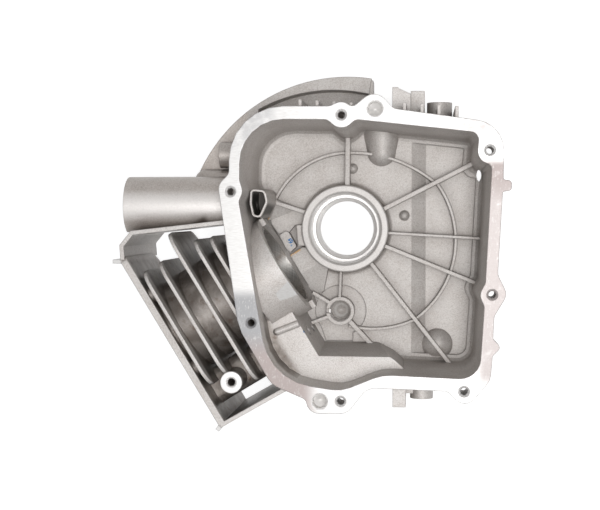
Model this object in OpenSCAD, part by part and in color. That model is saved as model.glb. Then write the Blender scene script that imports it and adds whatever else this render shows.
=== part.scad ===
// Die-cast block of a small air-cooled engine with an upright crankshaft.
// The crankcase is open towards +Z, the cylinder lies along -X and -Y, and the fan side faces -Z.
// The origin is on the crank axis, at the mouth of the main bearing seat.

/* [Crankcase] */
// Crank axis to the left wall of the cavity, at the gasket face
case_left = 70; // [66:1:76]
// Crank axis to the right wall of the cavity, at the gasket face
case_right = 106; // [98:1:112]
// Crank axis to the top wall of the cavity, at the gasket face
case_top = 78; // [74:1:84]
// Crank axis to the straight bottom wall of the cavity, at the gasket face
case_bottom = 104; // [100:1:112]
// Gasket face to the cavity floor
case_depth = 79; // [76:1:86]
// Thickness of the crankcase walls
wall_t = 4.6; // [4:0.2:6]
// Thickness of the crankcase floor
floor_t = 8; // [7:0.5:10]
// Thickness of the gasket flange
rail_t = 9; // [7:0.5:12]
// Slope of the cavity walls, in degrees
draft = 1.6; // [1:0.1:2.2]
// Radius between the cavity walls and the floor
floor_fillet = 5; // [3:0.5:7]
// Drop of the floor along the right side
floor_step = 3.5; // [2:0.5:4]

/* [Main bearing] */
// Gasket face to the mouth of the bearing seat
rim_depth = 67; // [64:1:70]
// Diameter of the bearing seat
bearing_d = 52; // [47:1:54]
// Depth of the bearing seat
bearing_h = 15; // [12:0.5:16]
// Diameter of the step under the bearing
shoulder_d = 47; // [44:0.5:50]
// Diameter of the oil seal bore
seal_d = 42; // [38:0.5:43]
// Wall round the bearing seat
bearing_wall = 7.4; // [6:0.2:9]
// How far the seal boss stands out under the floor
seal_boss_h = 13; // [10:0.5:16]

/* [Cylinder] */
// Cylinder bore
bore_d = 61; // [58:0.5:63]
// Thickness of the iron liner
liner_t = 2.4; // [1.8:0.2:3]
// Gasket face to the cylinder axis
bore_depth = 51; // [49:0.5:52]
// Crank axis to the cylinder mouth
mouth_a = 51; // [49:1:53]
// Crank axis to the head face
head_a = 148; // [144:1:154]
// Wall of the barrel round the liner
barrel_wall = 3.2; // [3:0.1:4]
// How much wider the barrel is at its mouth
mouth_collar = 2.8; // [1:0.2:3.2]
// Thickness of the head deck
deck_t = 5; // [4:0.5:7]
// Thickness of a fin
fin_t = 2.4; // [2:0.1:3]
// How far the fins stand out from the barrel, above and below
fin_reach = 11; // [8:0.5:12]
// Half width of the fins across the cylinder
fin_half = 48; // [46:1:50]
// How much shorter the first fin is at each end
fin_relief = 4; // [0:0.5:6]
// Circle of the head bolts, as a diameter
head_pcd = 88; // [86:1:90]
// Drill size of the head bolt holes
head_drill = 6.8; // [6:0.1:7]

/* [Camshaft and tappets] */
// Crank axis to the camshaft axis
cam_distance = 63.2; // [60:0.2:66]
// Cam journal
cam_d = 15; // [12:0.5:16]
// Wall round the cam journal
cam_wall = 3.4; // [3:0.2:5]
// Depth of the cam journal
cam_h = 12; // [9:0.5:13]
// Gasket face to the top of the tappet block
ledge_depth = 30; // [26:1:32]
// Tappet stem bore
tappet_d = 8; // [6:0.5:9]
// Distance between the two tappets
tappet_gap = 18; // [16:0.5:20]

/* [Fasteners] */
// Drill size of the cover holes
tap_drill = 5; // [4.2:0.1:5.5]
// Length of the threaded columns under the flange
tap_depth = 24; // [18:1:25]
// Diameter of the countersink at each hole
tap_sink = 8; // [7:0.2:9]
// Diameter of the dowel holes
dowel_d = 9.6; // [8:0.1:10]
// Depth of the dowel holes
dowel_h = 7; // [5:0.5:14]

/* [Air side] */
// Gasket face to the fan housing plane
fan_depth = 112; // [110:1:118]
// Outer radius of the scroll wall
scroll_r = 123.8; // [118:0.2:126]
// Gasket face to the top of the scroll wall
scroll_top = 66; // [60:1:72]
// Thickness of the thin cast walls
thin_t = 3; // [2.6:0.1:3.6]
// Radius of the air duct beside the fins
duct_r = 22; // [19:0.5:23]
// Wall round the seat at the outer end of the duct
duct_wall = 5; // [4.5:0.1:6]
// Depth of that seat
duct_seat = 10; // [8:0.5:14]
// Width of the shoulder behind the seat
duct_step = 1.5; // [1:0.1:2.5]
// Crank axis to the open end of the duct
duct_end = 161; // [150:1:164]

/* [Hidden] */
$fn = 48;

aluminium = [0.78, 0.76, 0.74];
cast_iron = [0.45, 0.44, 0.43];

// Heights, from the depths under the gasket face
rail_z = rim_depth;
floor_z = rail_z - case_depth;
base_z = floor_z - floor_t;
fan_z = rail_z - fan_depth;
ledge_z = rail_z - ledge_depth;
bore_z = rail_z - bore_depth;
seal_z = base_z - seal_boss_h;

// Cylinder frame: x runs away from the crank, y across the fins
cylinder_angle = 211.4;
liner_r = bore_d / 2 + liner_t;
barrel_r = liner_r + barrel_wall;
fin_low_z = bore_z - barrel_r - fin_reach;
fin_stations = [for (back = [65.5, 54.5, 41, 24.5, 11]) head_a - back];
long_fin = 2;
last_fin = len(fin_stations) - 1;
shroud_top_z = rail_z - 10;

boss_r = 8.5;
dowel_boss_r = 10;
cam_angle = 266.4;
cam_xy = cam_distance * [cos(cam_angle), sin(cam_angle)];
boss_outer_r = bearing_d / 2 + bearing_wall;

// Cover screws, clockwise from the left
cover_holes = [
    [-(case_left + 6.4), 26.8],
    [2, case_top + 2.2],
    [case_right - 1.3, case_top - 23],
    [case_right + 0.8, -44.9],
    [case_right - 18.2, -(case_bottom + 8.5)],
    [1.7, -(case_bottom + 16.8)],
    [-(case_left - 8.1), -66.1]
];
dowel_holes = [[25.5, case_top + 6.3], [-13.1, -(case_bottom + 17.1)]];

// Corners as [x, y, radius], clockwise seen from above, for the cavity at the gasket face
cavity_corners = [
    [-case_left, case_top, 31],
    [-8, case_top - 0.9, 6],
    [2.1, case_top - 9.6, 9],
    [12, case_top - 1, 6],
    [case_right - 8.4, case_top - 10.8, 6],
    [case_right - 10.6, case_top - 32.4, 9.2],
    [case_right + 0.2, case_top - 32.6, 3.5],
    [case_right - 3.9, -37, 6],
    [case_right - 8.2, -45, 8],
    [case_right - 4.5, -53, 6],
    [case_right - 7.7, -case_bottom, 14.5],
    [31, 2.3 - case_bottom, 30],
    [2, -(case_bottom + 9.6), 25],
    [21.5 - case_left, -(case_bottom + 2.3), 40],
    [14.4 - case_left, -65.5, 40],
    [-(case_left + 0.6), 20, 4],
    [-(case_left - 2.6), 27, 8.5],
    [-case_left, 34.5, 4]
];

// The same for the outer edge of the gasket flange
flange_corners = [
    [-(case_left + 7.4), case_top + 9, 38],
    [-6, case_top + 8.4, 6],
    [2.3, case_top + 12.4, 8.4],
    [10, case_top + 7.4, 4],
    [25.6, case_top + 20, dowel_boss_r],
    [38.5, case_top + 6.2, 6],
    [case_right + 8.4, case_top - 4.8, 21],
    [case_right + 8, 34.7, 1.5],
    [case_right + 13.8, 34, 2.5],
    [case_right + 13.5, 27.2, 2],
    [case_right + 7.6, 26.4, 1.5],
    [case_right + 4.6, -31, 8],
    [case_right + 11.4, -44.6, 8.6],
    [case_right + 2.2, -60, 8],
    [case_right + 1.6, -75.5, 2],
    [case_right + 7.2, -81.5, 3],
    [case_right + 1.3, -87.6, 2],
    [case_right - 0.1, -(case_bottom + 0.6), 12],
    [case_right - 17.5, -(case_bottom + 21.3), 8.7],
    [case_right - 29.5, -(case_bottom + 8.4), 6],
    [20.5, -(case_bottom + 7), 12],
    [6.5, -(case_bottom + 25.4), 9],
    [-20.9, -(case_bottom + 26), 8.6],
    [-22.8, -(case_bottom + 16), 5],
    [-40.5, -(case_bottom + 8.6), 12],
    [22.5 - case_left, -(case_bottom + 5.4), 14],
    [-(case_left + 1), -69, 25],
    [-(case_left + 15.4), 31.5, boss_r],
    [-(case_left + 7.4), 39.5, 6]
];

function unit(v) = v / norm(v);

// An arc in place of one corner, in steps of about 15 degrees
function corner_arc(before, here, after) =
    let (
        p = [here.x, here.y],
        to_before = unit([before.x, before.y] - p),
        to_after = unit([after.x, after.y] - p),
        half = acos(max(-1, min(1, to_before * to_after))) / 2,
        centre = p + unit(to_before + to_after) * here.z / sin(half),
        start = p + to_before * here.z / tan(half) - centre,
        end = p + to_after * here.z / tan(half) - centre,
        first = atan2(start.y, start.x),
        turn = (atan2(end.y, end.x) - first + 540) % 360 - 180,
        steps = max(1, round(abs(turn) / 15))
    )
    [for (i = [0:steps]) centre + here.z * [cos(first + turn * i / steps), sin(first + turn * i / steps)]];

function rounded(corners) = [
    for (i = [0:len(corners) - 1])
        each corner_arc(
            corners[(i + len(corners) - 1) % len(corners)],
            corners[i],
            corners[(i + 1) % len(corners)])
];

// Moves one corner of a clockwise outline outwards by a distance, and fits its radius
function moved_corner(before, here, after, distance) =
    let (
        a = unit([here.x - before.x, here.y - before.y]),
        b = unit([after.x - here.x, after.y - here.y]),
        side = unit([-a.y - b.y, a.x + b.x]),
        inner = a.x * b.y > a.y * b.x,
        p = [here.x, here.y] + side * distance / (side * [-a.y, a.x]),
        r = inner ? (distance > 0 ? here.z - distance : here.z) : here.z + distance
    )
    [p.x, p.y, max(0.4, r)];

// The rounded outline of clockwise corners, moved outwards by a distance
function grown(corners, distance) =
    let (n = len(corners))
    rounded([for (i = [0:n - 1])
        moved_corner(corners[(i + n - 1) % n], corners[i], corners[(i + 1) % n], distance)]);

// A closed skin through equal clockwise outlines, given as [points, height] from low to high.
// The hub is a point that sees every corner of the first and the last outline.
module loft(rings, hub = [10, -10]) {
    n = len(rings[0][0]);
    last = len(rings) - 1;
    low_hub = n * len(rings);
    polyhedron(
        points = concat(
            [for (ring = rings) for (p = ring[0]) [p.x, p.y, ring[1]]],
            [for (ring = [rings[0], rings[last]]) [hub.x, hub.y, ring[1]]]),
        faces = concat(
            [for (i = [0:n - 1]) [low_hub, (i + 1) % n, i]],
            [for (k = [0:last - 1]) for (i = [0:n - 1]) each [
                [k * n + i, k * n + (i + 1) % n, (k + 1) * n + i],
                [k * n + (i + 1) % n, (k + 1) * n + (i + 1) % n, (k + 1) * n + i]
            ]],
            [for (i = [0:n - 1]) [low_hub + 1, last * n + i, last * n + (i + 1) % n]]
        )
    );
}

function cavity_inset(z) = -(rail_z - z) * tan(draft);

// The hollow of the crankcase, with a rounded edge at the floor
module cavity() {
    fillet_steps = 3;
    loft(concat(
        [for (i = [0:fillet_steps])
            let (turn = 90 * i / fillet_steps, z = floor_z + floor_fillet * (1 - cos(turn)))
            [grown(cavity_corners, cavity_inset(z) - floor_fillet * (1 - sin(turn))), z]],
        [[grown(cavity_corners, cavity_inset(rail_z + 1)), rail_z + 1]]
    ));
}

// The deeper floor along the right side, with a sloped edge
step_x = 50;
module right_floor() {
    intersection() {
        translate([0, 200, floor_z]) rotate([90, 0, 0]) linear_extrude(400)
            polygon([[step_x, 0], [step_x - 0.7, 0.5], [200, 0.5], [200, -floor_step], [step_x + 11, -floor_step]]);
        loft([
            [grown(cavity_corners, cavity_inset(floor_z) - floor_fillet), floor_z - floor_step - 1],
            [grown(cavity_corners, cavity_inset(floor_z) - floor_fillet), floor_z + 2]
        ]);
    }
}

// The outside of the crankcase walls, under the flange
module case_skin() {
    edge = 6;
    loft([
        [grown(cavity_corners, wall_t + cavity_inset(base_z) - edge), base_z],
        [grown(cavity_corners, wall_t + cavity_inset(base_z) - edge * 0.3), base_z + edge * 0.3],
        [grown(cavity_corners, wall_t + cavity_inset(base_z)), base_z + edge],
        [grown(cavity_corners, wall_t), rail_z - rail_t / 2]
    ]);
}

module flange() {
    translate([0, 0, rail_z - rail_t]) linear_extrude(rail_t) polygon(rounded(flange_corners));
}

// The columns under the cover screws and dowels
module screw_columns() {
    for (p = concat(cover_holes, dowel_holes))
        translate([p.x, p.y, rail_z - tap_depth])
            cylinder(h = tap_depth - rail_t / 2, r1 = boss_r - 2, r2 = boss_r - 0.6);
}

module on_cylinder() {
    translate([0, 0, bore_z]) rotate([0, 0, cylinder_angle]) children();
}

// Runs a round body along the cylinder, from one distance to another
module along(from, to, r, across = 0, up = 0) {
    on_cylinder() translate([from, across, up]) rotate([0, 90, 0]) cylinder(h = to - from, r = r);
}

// Puts a flat outline, drawn as [across, up], square to the cylinder
module plate_at(station, t) {
    on_cylinder() translate([station, 0, 0]) rotate([90, 0, 90]) linear_extrude(t) children();
}

function fin_outline(half, top, low, r) = rounded([[-half, top, r], [half, top, r], [half, low, r], [-half, low, r]]);

// The lower half of the mouth stands this much further out
mouth_step = 3.5;

module barrel() {
    difference() {
        along(mouth_a, mouth_a + 28, barrel_r + mouth_collar);
        // the flat where a tool clears the top of the mouth
        on_cylinder() translate([mouth_a, 0, 0]) rotate([-28.5, 0, 0]) rotate([0, -2, 0])
            translate([-5, -15, barrel_r + mouth_collar - 0.6]) cube([30, 30, 10]);
    }
    along(mouth_a + 28, head_a - 1, barrel_r);
    intersection() {
        along(mouth_a - mouth_step, mouth_a + 1, barrel_r + mouth_collar);
        on_cylinder() translate([0, -100, -100]) cube([mouth_a + 2, 200, 100]);
    }
}

module fins() {
    for (i = [0:last_fin])
        plate_at(fin_stations[i] - fin_t / 2, fin_t)
            polygon(fin_outline(
                fin_half + (i == long_fin ? 14 : i == 0 ? -fin_relief : 0),
                barrel_r + fin_reach, -barrel_r - fin_reach, 14));
}

shroud_side = 77;
tunnel_across = 51;

module head_deck() {
    plate_at(head_a - deck_t, deck_t)
        polygon(rounded([
            [-64, shroud_top_z - bore_z, 4], [shroud_side, shroud_top_z - bore_z, 2],
            [shroud_side, fan_z - bore_z, 2], [-40, fan_z - bore_z, 20], [-64, fin_low_z - bore_z, 12]]));
    for (side = [-1, 1], up = [-1, 1])
        along(fin_stations[last_fin], head_a - 1, head_drill / 2 + 2.4,
            side * head_pcd / 2 * cos(45), up * head_pcd / 2 * sin(45));
}

// Points beside a path, at a distance to its left
function beside(path, distance) =
    let (last = len(path) - 1)
    [for (i = [0:last])
        let (
            a = unit(path[min(i + 1, last)] - path[min(i, last - 1)]),
            b = unit(path[max(i, 1)] - path[max(i - 1, 0)]),
            side = unit([-a.y - b.y, a.x + b.x])
        )
        path[i] + side * distance / (side * [-a.y, a.x])];

// A thin upright wall along a path
module thin_wall(path, top, low) {
    right = beside(path, -thin_t / 2);
    translate([0, 0, low]) linear_extrude(top - low)
        polygon(concat(beside(path, thin_t / 2), [for (i = [len(path) - 1:-1:0]) right[i]]));
}

function from_cylinder(a, b) = [
    a * cos(cylinder_angle) - b * sin(cylinder_angle),
    a * sin(cylinder_angle) + b * cos(cylinder_angle)];

module shroud() {
    thin_wall(shroud_line, shroud_top_z, fan_z);
    thin_wall([from_cylinder(head_a - 1, shroud_side - 0.8), from_cylinder(88, shroud_side + 0.6)], shroud_top_z, fan_z);
    thin_wall([from_cylinder(head_a + 3, shroud_side + 0.8), from_cylinder(head_a - 2, shroud_side - 1.6)], shroud_top_z - 0.5, fan_z + 20);
    thin_wall([from_cylinder(head_a + 5, -66), from_cylinder(head_a - 1, -62)], shroud_top_z - 1, fan_z + 30);
}

// The foot of the tappet block's two upright faces: across the cylinder, and along the bottom wall
block_face_a = 59.2;
block_face_y = -(case_bottom - 16.8);

// The tunnel of the pushrods beside the barrel
tunnel_half = 9;
tunnel_up = [-24, 14];
tunnel_start = block_face_a + 28;
module tunnel_body() {
    plate_at(mouth_a + 14, head_a - mouth_a - 15)
        polygon(rounded([
            [tunnel_across - tunnel_half - 4, tunnel_up[1] + 4, 7], [tunnel_across + tunnel_half + 4, tunnel_up[1] + 4, 7],
            [tunnel_across + tunnel_half + 4, tunnel_up[0] - 4, 7], [tunnel_across - tunnel_half - 4, tunnel_up[0] - 4, 7]]));
}
module tunnel_hollow() {
    plate_at(tunnel_start, head_a)
        polygon(rounded([
            [tunnel_across - tunnel_half, tunnel_up[1], 4], [tunnel_across + tunnel_half, tunnel_up[1], 4],
            [tunnel_across + tunnel_half, tunnel_up[0], 4], [tunnel_across - tunnel_half, tunnel_up[0], 4]]));
}

// The block in the lower left of the cavity that guides the tappets, with two leaning faces
block_rod = [62.4, 42.6];
module tappet_block() {
    corner = from_cylinder(block_face_a - 3, 66);
    start = from_cylinder(block_face_a - 3, 30);
    intersection() {
        union() {
            on_cylinder() translate([block_face_a, -100, floor_z - bore_z]) rotate([0, 3.6, 0])
                translate([0, 0, -20]) cube([200, 200, 100]);
            translate([-100, block_face_y, floor_z]) rotate([6.3, 0, 0])
                translate([0, -100, -20]) cube([200, 100, 100]);
        }
        translate([0, 0, floor_z - 2]) linear_extrude(ledge_z - floor_z + 2)
            polygon(rounded([
                [start.x, start.y, 2], [corner.x, corner.y, 2], [26, -86, 36], [52, -104, 28],
                [50, -150, 1], [-100, -150, 1], [-100, -40, 1]]));
        case_skin();
    }
    on_cylinder() translate([block_rod[0], block_rod[1], ledge_z - bore_z]) rotate([0, 0, -10]) {
        rotate([0, 90, 0]) cylinder(h = 17.4, r = 2.5);
        translate([17.4, 0, 0]) sphere(r = 2.5);
    }
}

// Main bearing boss, standing on the floor, with a sloped lead-in above the seat
lead = 2.2;
lead_z = 1.5;
module bearing_boss() {
    foot = 3;
    rotate_extrude($fn = 96) polygon(concat(
        [[seal_d / 2 - 3, seal_z], [boss_outer_r - 5, seal_z], [boss_outer_r - 2.5, base_z], [boss_outer_r + foot + 2, base_z + 1],
        [boss_outer_r + foot + 2, floor_z - 1], [boss_outer_r + foot, floor_z]],
        [for (i = [1:4]) [boss_outer_r + foot * (1 - sin(22.5 * i)), floor_z + foot * (1 - cos(22.5 * i))]],
        [[boss_outer_r - 0.4, lead_z - 0.6], [boss_outer_r - 1.2, lead_z], [seal_d / 2 - 3, lead_z]]));
}

module bearing_bores() {
    rotate_extrude($fn = 96) polygon([
        [0, lead_z + 1], [bearing_d / 2 + lead + 1, lead_z + 1], [bearing_d / 2 + lead, lead_z], [bearing_d / 2, 0],
        [bearing_d / 2, -bearing_h], [shoulder_d / 2, -bearing_h], [shoulder_d / 2, -bearing_h - 2.5],
        [seal_d / 2, -bearing_h - 4], [seal_d / 2, seal_z + 1], [seal_d / 2 + 1.4, seal_z - 0.4], [0, seal_z - 0.4]]);
}

module cam_boss() {
    translate([cam_xy.x, cam_xy.y, floor_z - 3]) cylinder(h = 10, r = cam_d / 2 + cam_wall);
}

// The floor is lower round the cam boss and down to the tappet block
module cam_recess() {
    step_r = 19.6;
    translate([0, 0, floor_z - 1.5]) linear_extrude(3) {
        translate(cam_xy) circle(r = step_r, $fn = 72);
        polygon([cam_xy + [-step_r, 0], cam_xy + [9.4, 0], [cam_xy.x + 9.4, block_face_y + 0.6], [cam_xy.x - 11.4, block_face_y + 0.6]]);
    }
}

// A straight rib on the floor, from p to q, with its own height at each end
module floor_rib(p, q, w, h1, h2) {
    l = norm(q - p);
    translate([p.x, p.y, floor_z]) rotate([0, 0, atan2(q.y - p.y, q.x - p.x)])
        rotate([90, 0, 0]) translate([0, 0, -w / 2]) linear_extrude(w)
            polygon([[0, -6], [l, -6], [l, h2], [0, h1]]);
}

module floor_ribs() {
    r = boss_outer_r - 1;
    floor_rib([1.7, r], [2, case_top - 4], 3.6, 11, 9);
    floor_rib(r * [0.89, 0.45], [case_right - 8, 50], 3.2, 11, 8);
    floor_rib(r * [1, -0.1], [case_right - 1, -7.5], 2, 9.5, 7);
    floor_rib(r * [0.92, -0.4], [case_right - 5, -42], 2.8, 10.5, 8);
    floor_rib(r * [0.6, -0.8], [case_right - 26, -103], 2.9, 10.5, 8);
    floor_rib([-3.2, -r], cam_xy + [-0.4, 9], 2, 9.5, 7);
    floor_rib(r * [-0.926, 0.377], [-60, 22], 3, 10.5, 10.5);
    floor_rib(cam_xy + [-8, 6.2], [-25, -49], 2.6, 7, 8);
    floor_rib(cam_xy + [-9, -4.5], [-27.5, -73], 2.6, 7, 7);
    floor_rib(cam_xy + [7, -7.5], [22, -91], 3.4, 6.5, 4);
}

// The curved rib, in four arcs that run into each other: [centre x, centre y, radius, from, to]
ring_arcs = [
    [2.7, -5.1, 63, 91.2, 163],
    [4.5, -41, 98.8, 50.6, 91.1],
    [9.7, -9.3, 73.9, -53.4, 36.3],
    [20.6, -2.2, 74.6, 256, 295.6]
];
module ring_rib() {
    for (arc = ring_arcs)
        translate([arc[0], arc[1], floor_z - 5]) rotate([0, 0, arc[3]])
            rotate_extrude(angle = arc[4] - arc[3], $fn = 96)
                polygon([[arc[2] - 1.3, 0], [arc[2] + 1.3, 0], [arc[2] + 1, 9.5], [arc[2] - 1, 9.5]]);
}

// Round forms that stand on the cavity floor: two small ones, the ends of two posts, a tapered one
dome_xy = [69.9, 15.6 - case_bottom];
cone_xy = [27.2, case_top - 19.5];
cone_r = 12;
cone_l = case_top - cone_xy.y;
module floor_details() {
    for (p = [[44.7, 9.9], [5.2, 45.8]]) translate([p.x, p.y, floor_z - 1]) sphere(r = 4);
    intersection() {
        union() {
            translate([dome_xy.x, dome_xy.y, floor_z - floor_step - 4]) rotate([90, 0, 25]) sphere(r = 12.4, $fn = 72);
            translate([cone_xy.x, cone_xy.y, floor_z - 5]) {
                sphere(r = cone_r, $fn = 72);
                rotate([-90, 0, 0]) cylinder(h = cone_l, r1 = cone_r, r2 = cone_r + cone_l * 0.19, $fn = 72);
            }
        }
        translate([0, -case_bottom, floor_z - 7]) cube([case_right, case_top + case_bottom, 30]);
    }
}

// The bulge under the cam journal
module cam_bulge() {
    translate([cam_xy.x, cam_xy.y, base_z - 4]) cylinder(h = 6, r1 = cam_d / 2 + cam_wall, r2 = cam_d / 2 + cam_wall + 1.5);
}

// The webs between the bearing boss and the cylinder mouth
module floor_pad(height, corners) {
    translate([0, 0, floor_z - 1]) linear_extrude(height + 1) polygon(rounded(corners));
}
module mouth_webs() {
    // upper web, with a sloped gusset up to the rib beside the port
    floor_pad(5, [[-57, 3.5, 1], [-51.3, -4.2, 1], [-43.3, -2.8, 1], [-38.8, 2.6, 1], [-30, 3, 1], [-29, 10, 1], [-37.7, 14.5, 1], [-58, 8, 1]]);
    intersection() {
        floor_pad(12, [[-60, 5.5, 1], [-37.7, 13.4, 1], [-33, 14.5, 1], [-58, 24, 1]]);
        translate([-58.8, 6.1, floor_z + 5]) rotate([0, 0, 19.6]) rotate([20, 0, 0]) translate([-10, -10, -30]) cube([50, 50, 30]);
    }
    // the ear of the bearing boss and the lug beside it
    floor_pad(12, [[-37.1, 2.7, 0.8], [-28, 2.7, 1], [-28, -13.1, 1], [-35.5, -13.1, 0.8], [-36.4, -6, 1]]);
    floor_pad(9, [[-50.5, -5, 1.4], [-45.3, -1.8, 1.8], [-42.8, -3.5, 1.2], [-37.1, -13.7, 1.5], [-42.2, -18.3, 1.2], [-45.9, -14.3, 1]]);
    // lower web, falling away towards the cam boss
    intersection() {
        floor_pad(12, [[-42.7, -20.4, 0.6], [-33, -14.3, 1.4], [-27, -14.5, 1], [-13, -29, 1], [-17, -49, 3], [-25.5, -50.5, 1]]);
        plate_at(15, 35) polygon([
            [-8, floor_z + 7 - bore_z], [12, floor_z + 7 - bore_z], [36, floor_z + 0.4 - bore_z],
            [36, floor_z - 2 - bore_z], [-8, floor_z - 2 - bore_z]]);
    }
}

// The breather port beside the left wall, with a thin lip on a sloped boss
port_x = -(case_left - 9.5);
port_corners = [
    [port_x - 4.4, 27.8, 1.5], [port_x + 3.9, 26.9, 2.5], [port_x + 5.5, 20, 4],
    [port_x + 0.7, 9.6, 2], [port_x - 3.1, 10.6, 1.5], [port_x - 4.9, 19, 3]];
module port_boss() {
    loft([[grown(port_corners, 2.4), floor_z - 1], [grown(port_corners, 1.4), ledge_z + 3]], [port_x - 1, 18]);
}
module port_hollow() {
    translate([0, 0, rail_z - 62]) linear_extrude(60) polygon(rounded(port_corners));
}

duct_y = 17;
duct_z = bore_z + 4;
// The inner line of the shroud, from the crankcase to the head; the duct stays outside it
shroud_line = [[-(case_left + 9), 5.5], [-150.5, -2.6], [-158.2, -12], from_cylinder(head_a - 2, -63)];
module beyond_shroud(gap) {
    linear_extrude(200, center = true) translate([0, gap])
        polygon([shroud_line[1] - [40, 0], shroud_line[1], shroud_line[0], [0, 12], [0, 80], [-200, 80]]);
}
module duct() {
    intersection() {
        translate([-duct_end, duct_y, duct_z]) rotate([0, 90, 0]) cylinder(h = duct_end - case_left - 4, r = duct_r);
        beyond_shroud(0);
    }
    translate([-105, duct_y + duct_r - 3, duct_z - 14]) {
        rotate([0, 90, 0]) cylinder(h = 30, r = 9);
        sphere(r = 9);
    }
}
module duct_bore() {
    // a round seat at the outer end, then the chamber as far as the shroud wall lets it
    translate([-duct_end - 1, duct_y, duct_z]) rotate([0, 90, 0])
        cylinder(h = duct_seat + 1, r = duct_r - duct_wall);
    intersection() {
        translate([-duct_end + duct_seat - 1, duct_y, duct_z]) rotate([0, 90, 0])
            cylinder(h = duct_end - case_left - 16 - duct_seat, r = duct_r - duct_wall - duct_step);
        beyond_shroud(2.4);
    }
    translate([-duct_end + 40, duct_y, duct_z - 6]) rotate([0, 90, 0]) cylinder(h = duct_end + port_x - 40, r = 4.5);
}

scroll_centre = [0.6, -9.3];
scroll_inner_centre = [-10, -13.6];
scroll_inner_r = scroll_r - 5.5;
scroll_end = 81;
scroll_end_x = scroll_centre.x + (scroll_r - thin_t / 2) * cos(scroll_end);

module scroll_sector() {
    translate(scroll_centre) polygon(concat([[0, 0]],
        [for (t = [scroll_end:6:171]) 160 * [cos(t), sin(t)]]));
}

// The sunken part between the scroll rim and the crankcase
scroll_well_x = -66;
module scroll_well(grow) {
    intersection() {
        translate(scroll_inner_centre) circle(r = scroll_inner_r + grow, $fn = 160);
        translate([scroll_well_x - grow, 0]) square([200, 200]);
    }
}

// The scroll wall round the fan, open from below
module scroll_wall() {
    translate([0, 0, fan_z]) linear_extrude(rail_z - scroll_top - fan_z)
        intersection() {
            difference() {
                translate(scroll_centre) circle(r = scroll_r, $fn = 160);
                translate(scroll_centre) circle(r = scroll_r - thin_t, $fn = 160);
            }
            scroll_sector();
        }
    translate([0, 0, base_z + 4]) linear_extrude(rail_z - scroll_top - base_z - 4)
        intersection() {
            difference() {
                scroll_well(thin_t);
                scroll_well(0);
            }
            scroll_sector();
            translate(scroll_centre) circle(r = scroll_r - 1, $fn = 160);
        }
    translate([0, 0, rail_z - scroll_top - thin_t]) linear_extrude(thin_t)
        intersection() {
            difference() {
                translate(scroll_centre) circle(r = scroll_r - 1, $fn = 160);
                scroll_well(1);
                translate([-case_left, 0]) square([case_left + case_right - 16, case_top - 6]);
            }
            scroll_sector();
        }
    translate([0, 0, base_z + 2]) linear_extrude(thin_t)
        intersection() {
            difference() {
                translate(scroll_centre) circle(r = scroll_r - 1, $fn = 160);
                translate([10 - case_left, 0]) square([case_left + case_right - 36, case_top - 13]);
            }
            scroll_sector();
        }
    thin_wall([
        [scroll_end_x, scroll_centre.y + (scroll_r - thin_t / 2) * sin(scroll_end)],
        [scroll_end_x, case_top + 2]], rail_z - scroll_top - 0.5, base_z + 1.5);
}

web_t = 2.4;
web_x = [-27.8, -15.7, -3.7, 8.3, 45.8, 58, 69.8, 82.2];
module outer_webs() {
    for (i = [0:len(web_x) - 1])
        translate([web_x[i] - web_t / 2, case_top - 6, base_z + 5])
            cube([web_t, (i < 4 ? 20 - i * 0.8 : 17 - (i - 4) * 0.9), rail_z - 8 - base_z - 5]);
}

// Lugs and round bosses on the outside walls
module outer_lugs() {
    z = rail_z - 60;
    // left wall
    translate([-93.8, 55.8, z]) rotate([0, 90, 0]) cylinder(h = 30, r = 9.8);
    // top wall
    translate([36.3, case_top - 6, z - 10]) cube([4.4, 31.5, 30]);
    translate([38, case_top - 6, z - 10]) linear_extrude(30) polygon([[0, 0], [11.7, 0], [11.7, 26.5], [2, 31]]);
    translate([49.6, case_top - 6, z - 5]) cube([10.4, 29, 20]);
    translate([70.8, case_top - 8, z]) rotate([-90, 0, 0]) cylinder(h = 23.3, r = 9.3);
    // bottom wall
    translate([36.9, -(case_bottom + 27.8), z - 5]) cube([9.8, 36, 20]);
    translate([46, -(case_bottom + 18), z - 2]) cube([6, 24, 12]);
    translate([58.2, -(case_bottom + 22.5), z]) rotate([-90, 0, 0]) cylinder(h = 30, r = 8.6);
}

fan_posts = [[case_right - 14, 50], dome_xy, [8, -case_bottom], [10 - case_left, case_top - 16], cone_xy];
post_screw = from_cylinder(123.4, 53.3);

module fan_side() {
    for (p = fan_posts) translate([p.x, p.y, fan_z]) cylinder(h = base_z + 3 - fan_z, r = 7.5);
    for (t = [18:45:360]) rotate([0, 0, t])
        translate([seal_d / 2 + 4, -1.75, base_z - 9]) cube([46, 3.5, 12]);
    translate([post_screw.x, post_screw.y, fan_z]) cylinder(h = rail_z - 8 - fan_z, r = 7.8);
}

oil_notch = 3.2;
slit_r = 7.4;
slit_w = 4;
slit_turn = acos(1 - slit_w / 2 / slit_r);
slit_n = 3;

// A blind drilled hole with a countersunk mouth, downwards from the origin
module drilled(d, depth, sink) {
    translate([0, 0, -depth]) cylinder(h = depth + 1, d = d);
    translate([0, 0, -depth - d * 0.3]) cylinder(h = d * 0.3, d1 = 0, d2 = d);
    translate([0, 0, -(sink - d) / 2]) cylinder(h = (sink - d) / 2 + 0.5, d1 = d, d2 = sink + 1);
}

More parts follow.
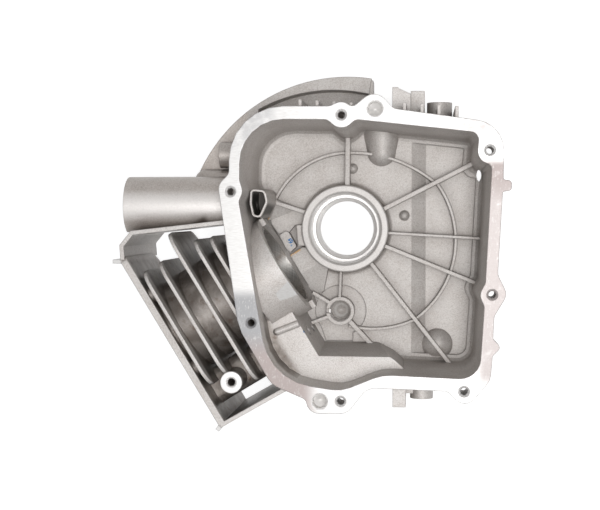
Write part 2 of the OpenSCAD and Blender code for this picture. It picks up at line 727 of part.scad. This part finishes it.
module all_holes() {
    for (p = cover_holes) translate([p.x, p.y, rail_z]) drilled(tap_drill, tap_depth, tap_sink);
    for (p = dowel_holes) translate([p.x, p.y, rail_z]) drilled(dowel_d, dowel_h, dowel_d + 2);
    for (p = fan_posts) translate([p.x, p.y, fan_z]) rotate([180, 0, 0]) drilled(tap_drill, 18, tap_sink);
    translate([post_screw.x, post_screw.y, rail_z - 8]) drilled(tap_drill + 0.6, tap_depth, tap_sink);
    translate([cam_xy.x, cam_xy.y, floor_z + 7]) drilled(cam_d, cam_h, cam_d + 1.6);
    translate([cam_xy.x - cam_d / 2 - cam_wall - 1, cam_xy.y - oil_notch / 2, floor_z + 4.5]) cube([cam_wall + 4, oil_notch, 4]);
    on_cylinder() for (side = [-1, 1], up = [-1, 1])
        translate([head_a, side * head_pcd / 2 * cos(45), up * head_pcd / 2 * sin(45)])
            rotate([0, 90, 0]) drilled(head_drill, head_a - fin_stations[last_fin] - 1.6, head_drill + 1.5);
    for (up = [-1, 1])
        along(block_face_a - 4, tunnel_start + 4, tappet_d / 2, tunnel_across, -5 + up * tappet_gap / 2);
    // the slit through the corner of the floor, pointed at both ends
    translate([case_right - 5.1, case_top - 37.6, base_z - 4]) linear_extrude(18)
        polygon([for (side = [1, -1], i = [-slit_n:slit_n - 1])
            side * slit_r * [cos(i * slit_turn / slit_n) - cos(slit_turn), sin(i * slit_turn / slit_n)]]);
}

module crankcase_casting() color(aluminium) difference() {
    union() {
        difference() {
            union() {
                flange();
                case_skin();
                screw_columns();
                outer_webs();
                outer_lugs();
                scroll_wall();
                duct();
                shroud();
                fan_side();
                cam_bulge();
                head_deck();
                fins();
                tunnel_body();
            }
            cavity();
            right_floor();
            cam_recess();
        }
        floor_ribs();
        ring_rib();
        floor_details();
        cam_boss();
        mouth_webs();
        tappet_block();
        port_boss();
        barrel();
        bearing_boss();
    }
    bearing_bores();
    along(mouth_a - mouth_step - 0.5, head_a + 1, liner_r);
    tunnel_hollow();
    port_hollow();
    duct_bore();
    all_holes();
}

// Cast-in iron sleeve, flush with the mouth and the head face
module cylinder_liner() color(cast_iron) difference() {
    along(mouth_a, head_a, liner_r);
    along(mouth_a - 1, head_a + 1, bore_d / 2);
}

crankcase_casting();
cylinder_liner();
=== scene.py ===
"""Looks of a die-cast engine block: blasted casting, milled face, turned seats, honed liner."""
import math

import bpy
from mathutils import Matrix, Vector

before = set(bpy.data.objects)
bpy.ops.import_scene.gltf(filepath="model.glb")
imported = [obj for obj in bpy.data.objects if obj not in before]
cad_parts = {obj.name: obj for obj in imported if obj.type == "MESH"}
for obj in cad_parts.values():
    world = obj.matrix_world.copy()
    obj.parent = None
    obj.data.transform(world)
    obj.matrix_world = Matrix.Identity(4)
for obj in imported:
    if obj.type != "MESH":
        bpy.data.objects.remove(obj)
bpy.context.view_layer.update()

# The block's own sizes, in millimetres, from the crank axis at the mouth of the bearing seat.
MM = 0.001
CYLINDER_ANGLE = math.radians(211.4)
RAIL_Z = 67.0                           # gasket face
BORE_Z = 16.0                           # cylinder axis
FAN_Z = -45.0                           # posts of the fan side, on which the block lies
HEAD_A = 148.0                          # head face, along the cylinder
LINER_R = 30.5
SEAT_R = 26.0                           # bearing seat
SEAL_LOW_Z = -33.0                      # lower end of the oil seal's bore
BOSS_R = 33.4                           # outside of the bearing boss
COVER_HOLES = [(-76.4, 26.8), (2, 80.2), (104.7, 55), (106.8, -44.9), (87.8, -112.5),
               (1.7, -120.8), (-61.9, -66.1)]
COVER_MOUTH_R = 4.6
DOWEL_HOLES = [(25.5, 84.3), (-13.1, -121.1)]
DOWEL_MOUTH_R = 5.9
CAM_BORE = (-3.97, -63.07)
CAM_MOUTH_R = 8.4
POST_AT = (123.4, 53.3)                 # screw post of the shroud, along and across the cylinder
POST_Z = 59.0
POST_R = 8.2
FACET_AT = (55.0, 18.5)                 # flat on top of the barrel, along and across the cylinder
FACET_Z = 50.0
FACET_NORMAL = (0.274, -0.392, 0.878)
PORT_AT = (-60.3, 11.9, 0.0)            # breather port, where y is squeezed as below
PORT_SQUEEZE = (1.0, 0.62, 0.0)
PORT_R = 6.4

BLUE_DABS = [((-42.0, -9.4, -3.0), 2.1), ((-40.2, -17.9, -5.0), 1.6), ((-41.0, -13.0, -3.0), 0.9),
             ((-26.6, -74.5, 36.0), 1.7), ((-22.6, -73.2, 36.0), 1.5)]
GREEN_FLECK = ((102.5, 2.0, 60.0), 1.4)
AMBER_STAINS = [((-55.6, 17.6, -6.0), (-60.0, 6.6, -6.0), 1.5),
                ((-43.6, -21.6, -5.0), (-35.2, -16.4, -5.0), 1.3)]

HONE_SLOPE = 0.55
WHITE = (1.0, 1.0, 1.0, 1.0)
MID_GREY = (0.5, 0.5, 0.5, 1.0)
FLOOR_REACH = 6.0                       # metres
FLOOR_GAP = 0.0004                      # metres under the posts
FLOOR_GLOW = 0.86
FILL_LIGHT = 0.09                       # what the world gives to the block, where white is 1

LAMPS = [("overhead", (0.18, -0.06, 1.45), 0.55, 10.8), ("side", (0.9, -0.7, 0.9), 0.6, 1.6)]
EYE = (60.35, 10.32, 865.3)
EYE_BACK = (0.10858, 0.03497, 0.99347)
EYE_RIGHT = (0.994080, 0.0, -0.108647)
EYE_LENS = 68.58
EYE_SENSOR = 36.0


def on_cylinder(a, b):
    """The x and y of a point that lies a along the cylinder and b across it."""
    c, s = math.cos(CYLINDER_ANGLE), math.sin(CYLINDER_ANGLE)
    return a * c - b * s, a * s + b * c


def from_crank(x, y):
    """How far the point x, y lies along the cylinder and across it."""
    c, s = math.cos(CYLINDER_ANGLE), math.sin(CYLINDER_ANGLE)
    return x * c + y * s, y * c - x * s


class Field:
    """One value or vector in a material, which Python operators turn into nodes."""

    def __init__(self, paint, socket):
        self.paint, self.socket = paint, socket

    def _math(self, operation, first, second):
        return self.paint.add("ShaderNodeMath", {"operation": operation}, [first, second])

    def __add__(self, other):
        return self._math("ADD", self, other)

    __radd__ = __add__

    def __sub__(self, other):
        return self._math("SUBTRACT", self, other)

    def __rsub__(self, other):
        return self._math("SUBTRACT", other, self)

    def __mul__(self, other):
        return self._math("MULTIPLY", self, other)

    __rmul__ = __mul__

    def root(self):
        return self._math("POWER", self, 0.5)

    def least(self, other):
        return self._math("MINIMUM", self, other)

    def most(self, other):
        return self._math("MAXIMUM", self, other)

    def above(self, low, high):
        """0 under low, 1 over high, soft between them."""
        return self.paint.add("ShaderNodeMapRange", {"interpolation_type": "SMOOTHSTEP"},
                              [self, low, high, 0.0, 1.0])

    def below(self, low, high):
        return 1 - self.above(low, high)


class Paint:
    """The nodes of a material or of the world."""

    def __init__(self, owner):
        owner.use_nodes = True
        self.owner = owner
        self.tree = owner.node_tree
        self.tree.nodes.clear()

    def add(self, kind, settings=None, inputs=(), output=0):
        """One node: its settings first, then its inputs by place or name."""
        node = self.tree.nodes.new(kind)
        for key, value in (settings or {}).items():
            setattr(node, key, value)
        pairs = inputs.items() if isinstance(inputs, dict) else enumerate(inputs)
        for key, value in pairs:
            if isinstance(value, Field):
                self.tree.links.new(value.socket, node.inputs[key])
            else:
                node.inputs[key].default_value = value
        return Field(self, node.outputs[output]) if node.outputs else None

    def vector(self, operation, first, second, output=0):
        return self.add("ShaderNodeVectorMath", {"operation": operation}, [first, second], output)

    def place(self):
        """The point on the object, in millimetres."""
        where = self.add("ShaderNodeTexCoord", output="Object")
        return self.add("ShaderNodeVectorMath", {"operation": "SCALE"}, {0: where, "Scale": 1 / MM})

    def parts(self, vector):
        return [self.add("ShaderNodeSeparateXYZ", None, [vector], k) for k in range(3)]

    def noise(self, where, scale, detail=2.0, roughness=0.5, distortion=0.0):
        return self.add("ShaderNodeTexNoise", None, {
            "Vector": where, "Scale": scale, "Detail": detail,
            "Roughness": roughness, "Distortion": distortion})

    def stretched(self, where, factors):
        return self.vector("MULTIPLY", where, factors)

    def bevel(self, reach):
        return self.add("ShaderNodeBevel", {"samples": 6}, {"Radius": reach * MM})

    def tint(self, amount, first, second, blend="MIX"):
        """A colour between two others."""
        settings = {"data_type": "RGBA", "blend_type": blend, "clamp_factor": True}
        return self.add("ShaderNodeMix", settings, {0: amount, 6: first, 7: second}, 2)

    def seen_directly(self):
        """1 for what the eye sees, itself or by way of metal or glass, 0 for what lights things."""
        rays = [self.add("ShaderNodeLightPath", output=name)
                for name in ("Is Camera Ray", "Is Glossy Ray", "Is Transmission Ray")]
        return strongest(rays)

    def finish(self, colour, metallic, roughness, height, depth, round_edges):
        """The surface. Height and round_edges are in millimetres, depth is how much it shows."""
        bump = self.add("ShaderNodeBump", None, {
            "Strength": depth, "Distance": MM, "Height": height, "Normal": self.bevel(round_edges)})
        shader = self.add("ShaderNodeBsdfPrincipled", None, {
            "Base Color": colour, "Metallic": metallic, "Roughness": roughness, "Normal": bump})
        self.add("ShaderNodeOutputMaterial", None, {"Surface": shader})
        return self.owner


def material(name):
    return Paint(bpy.data.materials.new(name))


def strongest(masks):
    """The highest of some values."""
    first, *others = masks
    for mask in others:
        first = first.most(mask)
    return first


def tone(*values):
    """A colour from red, green and blue as a screen shows them, 0 to 255."""
    return tuple(v / 255 / 12.92 if v <= 10.3 else ((v / 255 + 0.055) / 1.055) ** 2.4
                 for v in values) + (1.0,)


def spot(paint, where, centre, radius, soft):
    """1 inside a ball round a point, 0 outside, with an edge as soft as its share of the radius."""
    gap = paint.vector("DISTANCE", where, centre, "Value")
    return gap.below(radius * (1 - soft), radius * (1 + soft))


def streak(paint, where, start, end, width):
    """1 on a thin line between two points, 0 away from it."""
    run = Vector(end) - Vector(start)
    offset = paint.vector("SUBTRACT", where, start)
    share = paint.vector("DOT_PRODUCT", offset, tuple(run), "Value") * (1 / run.length_squared)
    share = share.most(0.0).least(1.0)
    nearest = paint.add("ShaderNodeVectorMath", {"operation": "SCALE"},
                        {0: tuple(run), "Scale": share})
    gap = paint.vector("DISTANCE", offset, nearest, "Value")
    return gap.below(width * 0.4, width)


def marks(paint, where, colour):
    """Dabs of blue marking paint, one green fleck, and thin amber stains at two edges."""
    wobble = paint.noise(where, 0.9, 2.0, 0.6)
    blue = strongest([spot(paint, where, at, size, 0.15) for at, size in BLUE_DABS])
    colour = paint.tint(blue * wobble.above(0.45, 0.5), colour, tone(42, 104, 158))
    colour = paint.tint(spot(paint, where, *GREEN_FLECK, 0.2), colour, tone(98, 168, 158))
    amber = strongest([streak(paint, where, *stain) for stain in AMBER_STAINS])
    return paint.tint(amber * wobble.above(0.3, 0.5) * 0.75, colour, tone(196, 150, 84))


def cast_aluminium():
    paint = material("blasted_casting")
    where = paint.place()
    x, y, z = paint.parts(where)
    facing = paint.add("ShaderNodeNewGeometry", output="True Normal")
    up = paint.parts(facing)[2]
    radius = (x * x + y * y).root()
    along, across = from_crank(x, y)
    flat = paint.stretched(where, (1, 1, 0))

    # where a tool has cut the casting: gasket face and cover holes, cam and dowel bores,
    # bearing seat and rim, head face, fan posts, screw post, flat on the barrel
    milled = z.above(RAIL_Z - 0.35, RAIL_Z - 0.15) * up.above(0.8, 0.9)
    milled = strongest([milled] + [spot(paint, where, hole + (RAIL_Z,), COVER_MOUTH_R, 0.04)
                                   for hole in COVER_HOLES])
    reamed = (spot(paint, where, CAM_BORE + (-11.0,), 9.0, 0.02)
              * spot(paint, flat, CAM_BORE + (0.0,), CAM_MOUTH_R, 0.01))
    for hole in DOWEL_HOLES:
        reamed = reamed.most(spot(paint, where, hole + (RAIL_Z - 2,), 8.6, 0.02)
                             * spot(paint, flat, hole + (0.0,), DOWEL_MOUTH_R, 0.02))
    seat = radius.below(SEAT_R + 0.6, SEAT_R + 0.8) * z.above(SEAL_LOW_Z, SEAL_LOW_Z + 1)
    rim = radius.below(BOSS_R + 0.8, BOSS_R + 1.2) * z.above(0.2, 0.5)
    turned = seat.most(rim * 0.3)
    head = along.above(HEAD_A - 0.2, HEAD_A - 0.1)
    foot = z.below(FAN_Z + 0.1, FAN_Z + 0.2)
    post = (spot(paint, where, on_cylinder(*POST_AT) + (POST_Z,), POST_R, 0.02)
            * z.above(POST_Z - 3, POST_Z - 1))
    lean = paint.vector("DOT_PRODUCT", facing, FACET_NORMAL, "Value")
    facet = (spot(paint, where, on_cylinder(*FACET_AT) + (FACET_Z,), 9.0, 0.05)
             * lean.above(0.9985, 0.9995))
    cut = strongest([milled, turned, head, foot, reamed, post, facet])

    # the blasted skin: fine pits, a faint cloudiness, fine scratches
    grain = paint.noise(where, 1.3, 3.0, 0.65)
    pits = paint.noise(where, 0.6, 2.0, 0.5)
    cloud = paint.noise(where, 0.045, 3.0, 0.55, 0.4)
    flow = paint.noise(paint.stretched(where, (0.6, 1.3, 0.4)), 0.11, 4.0, 0.6, 0.8)
    scratch = paint.noise(paint.stretched(where, (2.2, 0.12, 0.5)), 0.35, 2.0, 0.5, 0.6)
    skin = paint.tint(cloud.above(0.3, 0.7), tone(203, 196, 191), tone(217, 212, 208))
    skin = paint.tint(flow.above(0.52, 0.8) * 0.4, skin, tone(186, 173, 164))
    skin = paint.tint(grain.above(0.35, 0.7) * 0.6, skin, tone(240, 238, 236))
    skin = paint.tint(grain.below(0.3, 0.5) * 0.3, skin, tone(160, 152, 146))
    skin = paint.tint(pits.below(0.28, 0.5) * 0.22, skin, tone(150, 142, 136))
    skin = paint.tint(scratch.above(0.74, 0.78) * 0.35, skin, tone(140, 132, 126))

    # Toned down towards the bottom of the crankcase. This follows the light of the picture:
    # the metal there is no different.
    deep = z.below(0, 34) * radius.below(150, 160)
    skin = paint.tint(deep * 0.9, skin, tone(227, 226, 225), "MULTIPLY")

    # The side duct is smoother and darker than the rest. The lighter band along its top
    # follows the light of the picture too.
    tube = x.below(-76, -72) * y.above(-6, -4) * z.below(50, 56)
    skin = paint.tint(tube * 0.9, skin, tone(218, 214, 211), "MULTIPLY")
    skin = paint.tint(tube * z.above(38.0, 41.8) * 0.62, skin, tone(244, 241, 239))

    # painted shade, mottled, between the fins and inside the air shroud, with brown stains; painted
    # shade, near black, inside the breather port
    gap = (along.above(78, 84) * z.below(50, 57)
           * across.above(-62, -58) * across.below(75.0, 75.6))
    gap_mottle = paint.noise(where, 0.07, 4.0, 0.6, 0.5)
    painted_gap_shade = paint.tint(gap_mottle.above(0.35, 0.65), tone(92, 83, 76), tone(140, 133, 127))
    skin = paint.tint(gap * 0.92, skin, painted_gap_shade)
    stain = paint.noise(where, 0.16, 3.0, 0.6)
    skin = paint.tint(gap * stain.above(0.56, 0.7) * 0.7, skin, tone(92, 72, 58))
    # painted shade: near black inside the breather port
    port = (spot(paint, paint.stretched(where, PORT_SQUEEZE), PORT_AT, PORT_R, 0.12)
            * z.below(34, 39) * z.above(-5, 4))
    skin = paint.tint(port * 0.92, skin, tone(30, 26, 23))

    # painted reflection: dull mottled patches on the gasket face, also made rougher: one corner,
    # the right side, the top on both sides
    mottle = paint.noise(where, 0.12, 4.0, 0.65, 0.6)
    corner = x.below(-26, -12) * y.below(-50, -40)
    right = x.above(94, 102) * y.above(-112, -100) * y.below(44, 50)
    top_right = x.above(48, 100) * y.above(56, 76) * 0.55
    top_left = x.below(-52, -40) * y.above(45, 70) * 0.5
    dull_and_painted_reflection = strongest([top_right.most(top_left) * mottle.above(0.36, 0.6),
                      right * y.above(-20, 40).most(0.72) * mottle.above(0.1, 0.45),
                      corner * mottle.above(0.2, 0.42)])
    dull_and_painted_reflection = dull_and_painted_reflection * z.above(RAIL_Z - 3, RAIL_Z - 2)

    # the cut faces: bright, with the lay of the cutter, nicks, and rings 0.7 mm apart where turned
    lay = paint.noise(paint.stretched(where, (0.25, 2.5, 1)), 0.9, 3.0, 0.6)
    nicks = paint.noise(paint.stretched(where, (1.0, 0.3, 1.0)), 1.2, 2.0, 0.5, 1.0)
    wave = paint.add("ShaderNodeMath", {"operation": "SINE"}, [radius * 9.0 + z * 7.0])
    rings = wave * 0.5 + 0.5
    bright = paint.tint(lay.above(0.3, 0.7), tone(206, 204, 202), tone(220, 219, 218))
    # painted reflection in the dull patches: grey, pinker towards the bottom and the right
    painted_reflection_tone = paint.tint(y.below(-92, -70).most(x.above(40, 60)),
                         tone(158, 158, 160), tone(166, 153, 150))
    bright = paint.tint(dull_and_painted_reflection * 0.9, bright, painted_reflection_tone)
    bright = paint.tint(dull_and_painted_reflection * nicks.above(0.6, 0.68) * 0.6, bright, tone(214, 212, 210))
    shiny = strongest([post * 0.6, seat * 0.9, reamed * 0.9])
    bright = paint.tint(shiny, bright, tone(244, 242, 240))
    bright = paint.tint(turned * rings * 0.28, bright, tone(178, 171, 167))
    colour = paint.tint(cut, skin, bright)

    # painted shade: a thin darker line where the gasket face turns over at its edge
    turn = paint.vector("DOT_PRODUCT", paint.bevel(0.8), facing, "Value")
    colour = paint.tint(turn.below(0.9, 0.995) * milled * 0.7, colour, tone(128, 122, 118))

    # painted shade in the corners at the feet of the ribs and bosses, weaker on the cut faces
    open_air = paint.add("ShaderNodeAmbientOcclusion", {"samples": 8},
                         {"Distance": 9.0 * MM}, "AO")
    colour = paint.tint((1 - open_air) * (0.55 - cut * 0.4), colour, tone(98, 88, 81))
    colour = marks(paint, where, colour)

    rough = 0.5 - cut * 0.08 + (grain - 0.5) * 0.18 + dull_and_painted_reflection * cut * 0.12 - gap * 0.08 - tube * 0.1
    metal = cut * 0.22 + (gap + tube) * 0.25 + 0.24
    height = (grain * 0.09 + pits * 0.12) * (1 - cut) + cut * (lay * 0.01 + rings * turned * 0.02)
    return paint.finish(colour, metal, rough, height, depth=0.8, round_edges=0.9)


def honed_iron():
    paint = material("honed_liner")
    where = paint.place()
    x, y, z = paint.parts(where)
    along, across = from_crank(x, y)
    turn = paint.add("ShaderNodeMath", {"operation": "ARCTAN2"}, [z - BORE_Z, across]) * LINER_R

    # honing marks that cross: fine across the stroke, long along it
    strokes = []
    for slope in (HONE_SLOPE, -HONE_SLOPE):
        stroke = paint.add("ShaderNodeCombineXYZ", None, [
            (along + turn * slope) * 3.0, (turn - along * slope) * 0.05, 0.0])
        strokes.append(paint.noise(stroke, 1.0) * 0.5)
    hatch = strokes[0] + strokes[1]
    stain = paint.noise(where, 0.08, 3.0, 0.6)
    colour = paint.tint(hatch.above(0.35, 0.65), tone(146, 143, 140), tone(204, 201, 197))
    colour = paint.tint(stain.above(0.45, 0.7) * 0.5, colour, tone(132, 116, 102))
    metal, rough = 0.9 + hatch * 0.1, 0.3 + stain * 0.2
    return paint.finish(colour, metal, rough, hatch * 0.03, depth=0.6, round_edges=0.3)


def dress(node, finish):
    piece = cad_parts[node]
    piece.data.materials.clear()
    piece.data.materials.append(finish)


dress("crankcase_casting", cast_aluminium())
dress("cylinder_liner", honed_iron())


def lay_floor():
    """A white ground that takes the block's shadow."""
    paint = material("pale_floor")
    lit = paint.add("ShaderNodeBsdfDiffuse", None, {"Color": MID_GREY})
    glow = paint.add("ShaderNodeEmission", None, {"Color": WHITE, "Strength": FLOOR_GLOW})
    both = paint.add("ShaderNodeAddShader", None, [lit, glow])
    shader = paint.add("ShaderNodeMixShader", None, [paint.seen_directly(), lit, both])
    paint.add("ShaderNodeOutputMaterial", None, {"Surface": shader})

    low = FAN_Z * MM - FLOOR_GAP
    corners = [(-FLOOR_REACH, -FLOOR_REACH, low), (FLOOR_REACH, -FLOOR_REACH, low),
               (FLOOR_REACH, FLOOR_REACH, low), (-FLOOR_REACH, FLOOR_REACH, low)]
    mesh = bpy.data.meshes.new("pale_floor")
    mesh.from_pydata(corners, [], [(0, 1, 2, 3)])
    mesh.materials.append(paint.owner)
    ground = bpy.data.objects.new("pale_floor", mesh)
    bpy.context.scene.collection.objects.link(ground)


def hang_studio():
    """White all round for the eye, and a faint fill for the block."""
    sky = Paint(bpy.data.worlds.new("studio"))
    bpy.context.scene.world = sky.owner
    level = sky.add("ShaderNodeMapRange", None, {
        "Value": sky.seen_directly(), "To Min": FILL_LIGHT, "To Max": 1.0})
    back = sky.add("ShaderNodeBackground", None, {"Color": WHITE, "Strength": level})
    sky.add("ShaderNodeOutputWorld", None, {"Surface": back})


def soft_lamp(name, at, size, watts):
    """A round lamp that points at the bearing's mouth."""
    light = bpy.data.lights.new(name, "AREA")
    light.shape, light.size, light.energy = "DISK", size, watts
    lamp = bpy.data.objects.new(name, light)
    bpy.context.scene.collection.objects.link(lamp)
    lamp.location = at
    lamp.rotation_euler = (-Vector(at)).to_track_quat("-Z", "Y").to_euler()


def camera():
    """The camera stands over the open crankcase, leaning a little towards its right and top."""
    eye = bpy.data.cameras.new("camera")
    eye.lens, eye.sensor_width = EYE_LENS, EYE_SENSOR
    eye.clip_start, eye.clip_end = 0.01, 50.0
    place = bpy.data.objects.new("camera", eye)
    bpy.context.scene.collection.objects.link(place)
    back, right = Vector(EYE_BACK).normalized(), Vector(EYE_RIGHT).normalized()
    turn = Matrix((right, back.cross(right), back)).transposed().to_4x4()
    place.matrix_world = Matrix.Translation(Vector(EYE) * MM) @ turn
    bpy.context.scene.camera = place


lay_floor()
hang_studio()
for lamp_sizes in LAMPS:
    soft_lamp(*lamp_sizes)
camera()
bpy.context.scene.view_settings.view_transform = "Standard"
